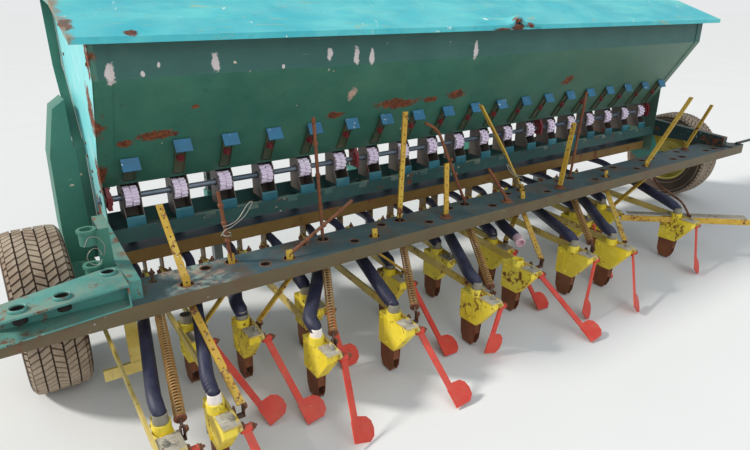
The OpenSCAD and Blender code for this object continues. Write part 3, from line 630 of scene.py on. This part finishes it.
# Each coulter: spout that feeds it, place in rows, rear rank, distance behind its rank, hose under the rail
# off its spout, hose at the front rank in rows, hole of its rod in the beam, side of the rod's foot,
# spring (1), flat bar (0) or bent rod (2)
SPOUT, AT, IS_REAR, OFF, PASS, TURN, HOLE, FOOT, SPRING = range(9)
coulters = [
    (0, -0.91, 1, 115, -25, None, -0.46, 35, 1),
    (1, -0.10, 1, 115, 0, None, 0, 51, 0),
    (None, 0.26, 0, -30, 0, None, 1, 35, 0),
    (2, 1.2, 0, 50, 0, None, 2, 35, 0),
    (4, 2.09, 1, -20, 20, 3, 3, 35, 1),
    (3, 2.71, 0, 10, 6, None, None, 35, 0),
    (5, 3.79, 1, -7, -24, None, 5, 60, 1),
    (6, 4.89, 0, 10, -31, None, 4, 35, 0),
    (8, 5.84, 1, 30, 5, None, 7, 35, 1),
    (7, 6.54, 0, -40, 0, None, None, 35, 0),
    (10, 7.70, 1, -66, 0, 8.45, 8.55, 92, 0),
    (9, 8.14, 0, 20, 0, None, 9, 35, 0),
    (11, 9.5, 1, -30, 6, None, 11, 70, 1),
    (13, 10.7, 1, 15, -28, 11.86, 12, 35, 0),
    (12, 11.6, 0, 0, 0, None, None, 35, 0),
    (14, 12.9, 0, 0, -9, None, 14, 35, 0),
    (16, 13.97, 1, -2, 0, None, 15, 35, 2)]
# Each rod above the beam: row, sideways lean, backward lean, top height, round or flat
rods = [(0, 0, 215, 637, 0), (1, -18, 10, 686, 1), (2, 267, 20, 590, 1), (3, -14, 10, 887, 1),
        (5, 35, 20, 866, 0), (6, -18, -10, 670, 0), (7, -98, 20, 693, 1), (8, -106, 20, 601, 1),
        (9, -108, 30, 646, 0), (10, 61, 10, 741, 0),
        (11, 60, 10, 856, 1), (14, 368, 20, 767, 0), (17, 120, -45, 699, 0)]


def row_x(i):
    return FIRST + i * GAP


def hole(h):
    """Where a row's hole in the beam is: the rows take turns in two lines."""
    return row_x(h) + 31, (-505 if math.floor(h) % 2 == 0 else -425)


def place(c):
    return row_x(c[AT]), -(REAR if c[IS_REAR] else FRONT) - c[OFF]


def socket(c):
    """Where the hose enters the coulter, a little left of its middle."""
    x, y = place(c)
    return x - 6, y


def bent_left(c):
    """The coulter at the far left, bent out of line, whose drag arm is on its other side."""
    return c[AT] < -0.5


# Hoses
RIBBED = (1, 3, 5, 16)          # spouts with a ribbed hose
WHITE_SLEEVES = (1, 4)          # spouts whose hose ends in a white sleeve, the others in a dull one


def hose_path(c):
    xs = row_x(c[SPOUT])
    xp = xs + c[PASS]
    x, y = socket(c)
    pts = [(xs, 104, 408), (xp, 104, 336), (xp, 84, 312), (xp, -30, 310)]
    if c[TURN] is not None:
        pts.append((row_x(c[TURN]), -FRONT - 10, 306))
    if c[SPOUT] == LOOSE:
        pts.append((x + 73, y + 74, 302))
    else:
        pts += [(x, y + 46, 294), (x, y, 277), (x, y, 255)]
    return [P(*p) for p in pts]


first_hose = None
for n, c in enumerate(coulters):
    if c[SPOUT] is None:
        continue
    ribbed = c[SPOUT] in RIBBED
    bm = bmesh.new()
    path = rounded_path(hose_path(c), 0.06, 0.0021 if ribbed else 0.012)
    total = len(path)
    fat = 0.0015 if c[AT] < 0 else 0.0060

    def swell(u):
        return fat * min(1.0, max(0.0, (u - 0.35) / 0.12), max(0.0, (0.985 - u) / 0.03))
    if ribbed:
        tube(bm, path, lambda u: 0.0166 + swell(u) + 0.0015 * math.sin(2 * math.pi * u * total / 5.0), 18)
    else:
        tube(bm, path, lambda u: 0.0178 + swell(u), 20)
    o = piece("hose_%02d" % n, bm, "hose", smooth=60)
    if first_hose is None:
        first_hose = o
        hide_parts("seed_hoses")

SLEEVE = [(0, 0), (0.0185, 0), (0.0187, 0.02), (0.0205, 0.024), (0.0203, 0.032), (0.0190, 0.040),
          (0.0186, 0.052), (0.0179, 0.053)]
LOOSE_END = [(0.0178, 0), (0.0198, 0.002), (0.0196, 0.03), (0.0212, 0.034), (0.0212, 0.046), (0.0165, 0.048),
             (0.0150, 0.03), (0, 0.03)]
white, loose, dull = bmesh.new(), bmesh.new(), bmesh.new()
for c in coulters:
    x, y = socket(c)
    if c[SPOUT] == LOOSE:
        a, b = P(x + 73, y + 74, 302), P(x + 54, y + 36, 294)
        lathe(loose, a - (b - a).normalized() * 0.012, b - a, LOOSE_END, 28)
    else:
        lathe(white if c[SPOUT] in WHITE_SLEEVES else dull, P(x, y, 229), Z1, SLEEVE, 28)
ends = piece("hose_sleeves", white, "white", smooth=50)
piece("hose_end_loose", loose, "pink", smooth=50)
piece("hose_sleeves_dull", dull, "plate", smooth=50)
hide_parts("hose_ends")

# Boots: two folded sheets, open at the rear
BOOT_SIDE = [(0.068, 0.105), (0.066, 0.040), (0.052, 0.008), (0.004, 0.005), (-0.010, 0.034), (-0.018, 0.105)]
BOOT_W = 0.0232
bm = bmesh.new()
for c in coulters:
    x, y = place(c)
    for xs in (-14, 11.6):
        slab(bm, BOOT_SIDE, P(x + xs, y, 0), Y1, Z1, X1, 0.0024)
    slab(bm, oblong(BOOT_W, 0.070), P(x, y + 64, 35), X1, Z1, Y1, 0.003)
    slab(bm, oblong(BOOT_W, 0.046), P(x, y - 12, 59), X1, Z1, Y1, 0.003)
    block(bm, P(x, y + 50, 12), P(x, y + 8, 8), BOOT_W, 0.006)
boots = piece("boots", bm, "rust", smooth=30, bevel=0.0007)
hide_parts("coulter_boots")


# Springs
def rod_points(c):
    """The rod's foot, its bend under the beam, and its way up through the beam's hole."""
    x, y = place(c)
    hx, hy = hole(c[HOLE])
    return P(x + c[FOOT], y - 40, 244), P(hx, hy - 12, 380), P(hx, hy, 452), P(hx, hy, 470)


bm = bmesh.new()
for c in coulters:
    if c[SPRING] == 1:
        e, k = rod_points(c)[:2]
        d = (k - e).normalized()
        wire, pitch = (0.0025, 0.0098) if bent_left(c) else (0.0022, 0.0115)
        coil(bm, e + d * 0.029, k - d * 0.012, 0.0134, wire, ((k - e).length - 0.041) / pitch)
springs = piece("coil_springs", bm, "spring", smooth=70)
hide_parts("springs")

# Tyres
WHEEL_X, WHEEL_Y, WHEEL_Z = 1914.5, -87, 280
R, RIM = 0.280, 0.168
# Half of the carcass, from the rim's edge to the middle of the tread: radius, distance from the middle
CARCASS = [(RIM, 0.062), (RIM + 0.014, 0.066), (RIM + 0.03, 0.080), (RIM + 0.05, 0.088),
           (RIM + 0.072, 0.0925), (RIM + 0.09, 0.0905), (R - 0.016, 0.085), (R - 0.012, 0.078),
           (R - 0.0085, 0.06), (R - 0.008, 0.03)]
# Rows of tread blocks: from, to, lean
TREAD = [(-0.078, -0.052, 0.30), (-0.047, -0.019, 0.34), (-0.014, 0.014, -0.34), (0.019, 0.047, 0.34),
         (0.052, 0.078, 0.30)]
BLOCKS = 68
BLOCK_TURN = 2 * math.pi / BLOCKS
# Section of a shoulder lug: radius, distance from the middle
LUG = [(R - 0.006, 0.079), (R - 0.0155, 0.0865), (R - 0.032, 0.0905), (R - 0.032, 0.086), (R - 0.016, 0.080)]
# Sidewall ribs: radius, distance from the middle
RIBS = [(RIM + 0.022, 0.0735), (RIM + 0.078, 0.0915)]


def tyre(name, side, node, body):
    centre = P(side * WHEEL_X, WHEEL_Y, WHEEL_Z)
    bm = bmesh.new()
    lathe(bm, centre, X1, [(r, -h) for r, h in CARCASS] + CARCASS[::-1], 120, close=True)
    piece(name + "_carcass", bm, "tyre_dark", body, smooth=50)
    bm = bmesh.new()

    def at(r, h, a):
        return centre + Vector((h, r * math.sin(a), r * math.cos(a)))
    for j, (h0, h1, lean) in enumerate(TREAD):
        for i in range(BLOCKS):
            a = 2 * math.pi * (i + 0.5 * (j % 2)) / BLOCKS
            da = BLOCK_TURN * 0.41
            slant = lean * 2 * math.pi / BLOCKS
            base, top = [], []
            for h, s in ((h0, -1), (h1, 1)):
                rr = R - 0.0006 - (0.0045 if abs(h) > 0.07 else 0.0)
                for k in (-1, 1):
                    base.append(bm.verts.new(at(rr - 0.0085, h, a + k * da + s * slant)))
                    top.append(bm.verts.new(at(rr, h * 0.99, a + k * da * 0.9 + s * slant)))
            base, top = [[v[k] for k in (0, 1, 3, 2)] for v in (base, top)]
            bm.faces.new(top)
            bridge(bm, base, top)
    for side in (-1, 1):
        for i in range(BLOCKS):
            a = 2 * math.pi * (i + 0.25) / BLOCKS
            da = BLOCK_TURN * 0.33
            v0 = [bm.verts.new(at(r, side * h, a - da)) for r, h in LUG]
            v1 = [bm.verts.new(at(r, side * h, a + da)) for r, h in LUG]
            bm.faces.new(v0)
            bm.faces.new(v1[::-1])
            bridge(bm, v0, v1)
    for side in (-1, 1):
        for r, h in RIBS:
            tube(bm, [at(r, side * h, 2 * math.pi * k / 90) for k in range(91)], 0.0016, 6, caps=False)
    o = piece(name + "_tread", bm, "tyre", body, smooth=0)
    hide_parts(node)


tyre("tyre_l", -1, "tyre_left", "wheel_left")
tyre("tyre_r", 1, "tyre_right", "wheel_right")

# Rods and perforated bars
BAR_W, BAR_T, BAR_PITCH, BAR_HOLE = 0.022, 0.006, 0.034, 0.0034
ROD_R = 0.0062


def perforated(bm, a, b):
    """A flat bar with a row of round holes, built from one square with a hole for each."""
    x, y, z = frame_of(b - a)
    length = (b - a).length
    n = max(1, int(length / BAR_PITCH))
    p = length / n
    square = [(0.5, 0), (0.5, 0.5), (0, 0.5), (-0.5, 0.5), (-0.5, 0), (-0.5, -0.5), (0, -0.5), (0.5, -0.5)]
    for i in range(n):
        c = a + z * p * (i + 0.5)
        top_o, top_i, bot_o, bot_i = [], [], [], []
        for sx, sz in square:
            ox, oz = sx * BAR_W, sz * p
            an = math.atan2(sz, sx)
            ix, iz = BAR_HOLE * math.cos(an), BAR_HOLE * math.sin(an)
            for lst, px, pz, s in ((top_o, ox, oz, 1), (top_i, ix, iz, 1),
                                   (bot_o, ox, oz, -1), (bot_i, ix, iz, -1)):
                lst.append(bm.verts.new(c + x * px + z * pz + y * s * BAR_T / 2))
        for k in range(len(square)):
            k2 = (k + 1) % len(square)
            bm.faces.new((top_o[k], top_o[k2], top_i[k2], top_i[k]))
            bm.faces.new((bot_o[k2], bot_o[k], bot_i[k], bot_i[k2]))
            bm.faces.new((top_i[k], top_i[k2], bot_i[k2], bot_i[k]))
        edges = [(0, 1), (7, 0), (3, 4), (4, 5)]
        if i == 0:
            edges += [(5, 6), (6, 7)]
        if i == n - 1:
            edges += [(1, 2), (2, 3)]
        for k, k2 in edges:
            bm.faces.new((top_o[k2], top_o[k], bot_o[k], bot_o[k2]))


FOOT_EAR = [(-0.009, 0), (0.009, 0), (0.009, 0.03), (0.005, 0.04), (-0.005, 0.04), (-0.009, 0.03)]
SPRING_SEAT = [(ROD_R, 0), (0.0165, 0), (0.017, 0.001), (0.017, 0.004), (0.0165, 0.005), (ROD_R, 0.005)]
COLLAR = [(ROD_R, 0), (0.0092, 0.001), (0.0096, 0.006), (0.0092, 0.011), (ROD_R, 0.012)]
STUB = [(0, 0), (0.0075, 0), (0.0078, 0.001), (0.0078, 0.071), (0, 0.072)]
FLANGE = [(0.0075, 0), (0.025, 0), (0.025, 0.004), (0.022, 0.005), (0.014, 0.005), (0.014, 0.016),
          (0.0075, 0.017)]
flat, round_, inner, feet, fittings = [bmesh.new() for _ in range(5)]
holes_used = set()
for c in coulters:
    if c[HOLE] is None:
        continue
    x, y = place(c)
    e, k, u, top = rod_points(c)
    holes_used.add(c[HOLE])
    # foot on the drag arm
    x0, x1 = x + 28, x + 28 + c[FOOT] - 21
    block(feet, P(x0, y - 40, 209), P(x1, y - 40, 209), 0.018, 0.006)
    for xx in (x0 + 2.5, x1 - 2.5):
        slab(feet, FOOT_EAR, P(xx - 2, y - 40, 206), Y1, Z1, X1, 0.004)
    nut(fittings, P(x1, y - 40, 236), X1, 0.011, 0.006)
    if c[SPRING] == 1:
        tube(inner, rounded_path([e, k, u, top], 0.02, 0.008), 0.0046, 12)
        d = (k - e).normalized()
        lathe(fittings, e + d * 0.024, d, SPRING_SEAT, 22)
    elif c[SPRING] == 2:
        bends = [e + Vector(p) for p in ((0.05, 0.07, 0.036), (0.12, 0.17, 0.044), (0.17, 0.29, 0.07))]
        tube(round_, smooth_path([e] + bends + [k, u, top], 10), 0.0055, 10)
    else:
        perforated(flat, e, k)
        perforated(flat, k, top)
for h, dx, dy, z, is_round in rods:
    hx, hy = hole(h)
    a, b = P(hx, hy, 452), P(hx + dx, hy + dy, z)
    if is_round:
        path = [a, b]
        if h == 7:      # bent over at its top
            path = smooth_path([a, b + Vector((0, 0, -0.02)), P(hx - 150, hy + 20, 770),
                                P(hx - 215, hy + 20, 812)], 10)
        tube(round_, path, ROD_R, 12)
        for s in (0.25, 0.52, 0.78):
            lathe(fittings, a.lerp(b, s), (b - a).normalized(), COLLAR, 14)
    else:
        perforated(flat, a, b)
        if h == 9:      # a second bar is bolted on and leans further
            perforated(flat, b - (b - a).normalized() * 0.03, P(hx - 254, hy + 40, 850))
    if h not in holes_used:
        lathe(round_, P(hx, hy, 380), Z1, STUB, 14)
        lathe(fittings, P(hx, hy, BEAM_TOP), Z1, FLANGE, 26)
rods_piece = piece("flat_rods", flat, "rod_yellow", smooth=30)
piece("round_rods", round_, "rust", smooth=50)
piece("spring_rods", inner, "rust_dark", smooth=50)
piece("rod_feet", feet, "rust_dark", smooth=30, bevel=0.0008)
piece("rod_fittings", fittings, "rust", smooth=40)
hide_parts("pressure_rods")

# Fastenings and small parts
END_BOLTS = ((101, 784), (112, 735), (60, 690), (96, 655), (-40, 640), (-40, 520), (100, 520), (100, 410),
             (-40, 410), (-220, 1080), (-220, 1150), (250, 1080), (250, 1180))
CARRIER_BOLTS = ((-50, 410), (30, 350), (90, 400))
BEARINGS = (-1651, -3.5 * GAP, 3.5 * GAP, 1651)
bolts, rusty, body_bolts = bmesh.new(), bmesh.new(), bmesh.new()
for c in coulters:
    x, y = place(c)
    side = -1 if bent_left(c) else 1
    # pivot of the covering arm, rear end of the drag arm, body and boot bolts
    nut(rusty, P(x + 58, y - 84, 198), X1, 0.013, 0.008, stud=0.006)
    nut(rusty, P(x + 28, y - 90, 216), X1, 0.014, 0.007)
    for sx in (-1, 1):
        nut(body_bolts, P(x + sx * 20, y + 54, 208), X1 * sx, 0.007, 0.004)
        nut(body_bolts, P(x + sx * 20, y + 20, 122), X1 * sx, 0.007, 0.004)
        slab(body_bolts, oblong(0.006, 0.098), P(x + (20 if sx > 0 else -21.4), y + 34, 118),
             Y1, Z1, X1, 0.0014)
    nut(bolts, P(x + side * 14, y - 66, 231), Z1, 0.011, 0.007, stud=0.008)
    if not bent_left(c):
        nut(rusty, P(x + 34, 6, 268), X1, 0.015, 0.009, stud=0.007)
        nut(rusty, P(x + 20, 6, 268), -X1, 0.015, 0.009)
for xb in BEARINGS:
    for sx in (-1, 1):
        nut(rusty, P(xb + sx * 7, 18, 632), X1 * sx, 0.010, 0.006)
        nut(rusty, P(xb + sx * 12, -16, 594), X1 * sx, 0.008, 0.004, washer=False)
for side in (-1, 1):
    for y, z in END_BOLTS:
        nut(rusty, P(side * SIDE, y, z), X1 * side, 0.0075, 0.0035, washer=False)
    for y, z in CARRIER_BOLTS:
        nut(bolts, P(side * 1690, y, z), X1 * side, 0.016, 0.009, stud=0.008)
piece("bolts_bright", bolts, "zinc", smooth=30)
piece("bolts_rusty", rusty, "rust", smooth=30)
piece("body_bolts", body_bolts, "yellow", smooth=30)

for side, body in ((-1, "wheel_left"), (1, "wheel_right")):
    bm = bmesh.new()
    for k in range(5):
        a = 2 * math.pi * k / 5 + 0.3
        at = P(side * (WHEEL_X + 15.5), WHEEL_Y + 105 * math.cos(a), WHEEL_Z + 105 * math.sin(a))
        nut(bm, at, X1 * side, 0.015, 0.010, stud=0.006)
    piece("nuts_" + body, bm, "rust", body, smooth=30)

# rings round the beam's holes, and collars on the left bracket; under them near black sleeves, painted shade
# inside the holes
lips, sleeves = bmesh.new(), bmesh.new()
for i in range(ROWS):
    for xh, yh, r in ((row_x(i) + 31, hole(i)[1], 0.020), (row_x(i + 0.5) + 31, hole(i + 1)[1], 0.017)):
        lathe(lips, P(xh, yh, BEAM_TOP), Z1, [
            (r, 0), (r + 0.0036, 0), (r + 0.0032, 0.0009), (r + 0.001, 0.0015), (r, 0.001)], 30, close=True)
        # the flanged lip down into the beam is coloured near black, painted shade in the hole
        lathe(sleeves, P(xh, yh, BEAM_TOP - 1), -Z1, [
            (r - 0.0003, 0), (r, 0.014), (r - 0.001, 0.022), (r - 0.0016, 0.022), (r - 0.0012, 0.014),
            (r - 0.0014, 0)], 30, close=True)
piece("beam_hole_lips", lips, "rust", smooth=50)
piece("beam_hole_shade_sleeves", sleeves, "painted_hole_shade", smooth=50)
BRACKET_HOLES = ((-1985, -548), (-1880, -535), (-1748, -448))
collars, sleeves = bmesh.new(), bmesh.new()
for x, y in BRACKET_HOLES:
    lathe(collars, P(x, y, 510), Z1, [
        (0.018, -0.006), (0.024, 0), (0.0245, 0.001), (0.0225, 0.007), (0.0205, 0.009),
        (0.018, 0.007)], 34, close=True)
    # a closed near black cup under each collar, painted shade that makes the hole look deep
    lathe(sleeves, P(x, y, 474), Z1, [
        (0, 0), (0.0178, 0), (0.0178, 0.040), (0.0166, 0.040), (0.0166, 0.002), (0, 0.002)], 30)
piece("bracket_collars", collars, "bright", smooth=50)
piece("bracket_hole_shade_sleeves", sleeves, "painted_hole_shade", smooth=50)

# front edge of the left end plate: a pale tube, painted highlight where the flange's edge catches the light
bm = bmesh.new()
edge = [P(-SIDE - 2, y, z) for y, z in ((330, 1268), (330, 1035), (150, 760), (150, 336))]
tube(bm, rounded_path(edge, 0.03, 0.02), 0.0034, 8)
piece("end_plate_edge_highlight", bm, "edge", smooth=60)

# castings that hold the drag arms, behind the rail, where no hose is in the way
CASTING = [(-0.030, -0.014), (0.026, -0.016), (0.030, 0.008), (0.022, 0.026), (0.004, 0.040), (-0.014, 0.036),
           (-0.028, 0.016)]
CASTING_BOSS = [(-0.026, -0.012), (0.024, -0.014), (0.026, 0.008), (0.018, 0.022), (0.002, 0.032),
                (-0.014, 0.028), (-0.026, 0.012)]
HOSE_ROOM = 0.046
bm, casting_bolts = bmesh.new(), bmesh.new()
for n, c in enumerate(coulters):
    if bent_left(c):
        continue
    x, y = place(c)
    yc = -92 + 8 * math.sin(n * 2.1)
    z0 = 284 - (26 - yc) * 52.0 / (26 - (y - 96))       # on the drag arm, which slopes down to the coulter
    if c[SPOUT] is not None:
        pts = rounded_path(hose_path(c), 0.06, 0.012)
        if min((q - P(x + 30, yc, 300)).length for q in pts) < HOSE_ROOM:
            continue
    slab(bm, CASTING, P(x + 12, yc, z0), Y1, Z1, X1, 0.008)
    slab(bm, CASTING_BOSS, P(x + 28, yc, z0), Y1, Z1, X1, 0.014)
    block(bm, P(x + 10, yc, z0 + 6), P(x + 48, yc, z0 + 6), 0.016, 0.012)
    nut(casting_bolts, P(x + 42, yc, z0 + 10), X1, 0.015, 0.009, stud=0.008)
    nut(casting_bolts, P(x + 34, yc + 2, z0 + 33), Z1, 0.012, 0.008, stud=0.010)
piece("arm_castings", bm, "clamp", smooth=30, bevel=0.0016)
piece("casting_bolts", casting_bolts, "rust", smooth=30)

# wires: linch pin on the marker hinge, hairpins on two rods
HAIRPIN = [(-24, -8, -18), (-10, -12, 0), (12, -14, 8), (60, -10, 34), (92, -6, 74), (78, -4, 72),
           (40, -9, 30), (6, -13, 16), (-16, -10, 14)]
bm = bmesh.new()
turns = [2 * math.pi * k / 28 for k in range(27)]
tube(bm, [P(-1770 + 20 * math.cos(a), -403 + 6 * math.sin(2 * a), 552 + 26 * math.sin(a))
          for a in turns], 0.0013, 7)
pin = [(-1792, -400, 586), (-1776, -398, 612), (-1752, -396, 606), (-1738, -398, 578), (-1744, -397, 548)]
tube(bm, smooth_path([P(*p) for p in pin], 8), 0.0013, 7)
for row, ox, oy, z, side in ((1, -4, 2, 560, 1), (9, -16, 4, 500, -1)):
    hx, hy = hole(row)[0] + ox, hole(row)[1] + oy
    tube(bm, smooth_path([P(hx + px * side, hy + py, z + pz) for px, py, pz in HAIRPIN], 8), 0.0017, 7)
    turns = [2 * math.pi * k / 24 for k in range(25)]
    tube(bm, [P(hx + 13 * math.cos(a), hy + 13 * math.sin(a), z - 20 + 2 * math.sin(a))
              for a in turns], 0.002, 7)
piece("wires", bm, "zinc", smooth=60)

# bar and plate across the last coulter on the right
bm = bmesh.new()
block(bm, P(664, -559, 214), P(1140, -970, 214), 0.008, 0.030)
piece("cross_bar", bm, "rod_yellow", smooth=30, bevel=0.001)
bm = bmesh.new()
block(bm, P(700, -566, 236), P(1136, -943, 236), 0.040, 0.004)
piece("cross_plate", bm, "plate", smooth=30, bevel=0.0008)

# lid: buckled lip
bm = bmesh.new()
prev = None
for k in range(41):
    u = k / 40.0
    x = -120 + 290 * u
    out = 2 * math.sin(math.pi * u) ** 1.5
    lift = 34 * math.exp(-((x - 24) / 34.0) ** 2) + 8 * math.exp(-((x - 96) / 30.0) ** 2)
    row = [(-333.4, 1143 + lift * 0.9), (-334.4 - out, 1163 + lift), (-322, 1167 + lift * 0.95),
           (-300, 1175.5 + lift * 0.6), (-276, 1184.2 + lift * 0.22), (-262, 1189.2)]
    row = [bm.verts.new(P(x, y, z)) for y, z in row]
    if prev:
        for a in range(len(row) - 1):
            bm.faces.new((prev[a], prev[a + 1], row[a + 1], row[a]))
    prev = row
lip = piece("lid_buckle", bm, "lid", "lid", smooth=60)
sheet = lip.modifiers.new("sheet", "SOLIDIFY")
sheet.thickness = 0.0016
sheet.offset = 0

# Light and floor
FLOOR_HALF = 300.0
world = bpy.data.worlds.new("studio_world")
scene.world = world
world.use_nodes = True
wt = world.node_tree
sky = wt.nodes["Background"]
sky.inputs[0].default_value = (0.86, 0.93, 1.0, 1.0)
sky.inputs[1].default_value = 0.62
pale = wt.nodes.new("ShaderNodeBackground")
pale.inputs[0].default_value = (0.80, 0.81, 0.82, 1)
pale.inputs[1].default_value = 1.0
seen = wt.nodes.new("ShaderNodeLightPath")
mixed = wt.nodes.new("ShaderNodeMixShader")
wt.links.new(seen.outputs["Is Camera Ray"], mixed.inputs[0])
wt.links.new(sky.outputs[0], mixed.inputs[1])
wt.links.new(pale.outputs[0], mixed.inputs[2])
wt.links.new(mixed.outputs[0], wt.nodes["World Output"].inputs["Surface"])
scene.view_settings.view_transform = "Standard"


def lamp(name, kind, energy, aim):
    """A lamp that shines along a direction."""
    data = bpy.data.lights.new(name, kind)
    data.energy = energy
    o = bpy.data.objects.new(name, data)
    scene.collection.objects.link(o)
    o.rotation_euler = Vector(aim).to_track_quat("-Z", "Y").to_euler()
    return o


key = lamp("key_light", "SUN", 2.9, (6.5, -3.5, -6.0))
key.data.angle = math.radians(9)
key.data.color = (1.0, 0.97, 0.92)
fill_at = Vector((-2.0, -11.0, 8.0))
fill = lamp("fill_light", "AREA", 480, Vector((0, 0, 0.5)) - fill_at)
fill.location = fill_at
fill.data.size = 8.0

bm = bmesh.new()
corners = ((-1, -1), (1, -1), (1, 1), (-1, 1))
bm.faces.new([bm.verts.new(Vector((x * FLOOR_HALF, y * FLOOR_HALF, 0))) for x, y in corners])
me = bpy.data.meshes.new("studio_floor")
bm.to_mesh(me)
bm.free()
floor = bpy.data.objects.new("studio_floor", me)
scene.collection.objects.link(floor)
t = Tree("floor_pale")
t.put(t.mix(t.noise(1.5, 3), (0.69, 0.69, 0.68, 1), (0.73, 0.73, 0.72, 1)), t.bsdf.inputs["Base Color"])
t.bsdf.inputs["Roughness"].default_value = 1.0
t.bsdf.inputs["Specular IOR Level"].default_value = 0.0
me.materials.append(t.mat)
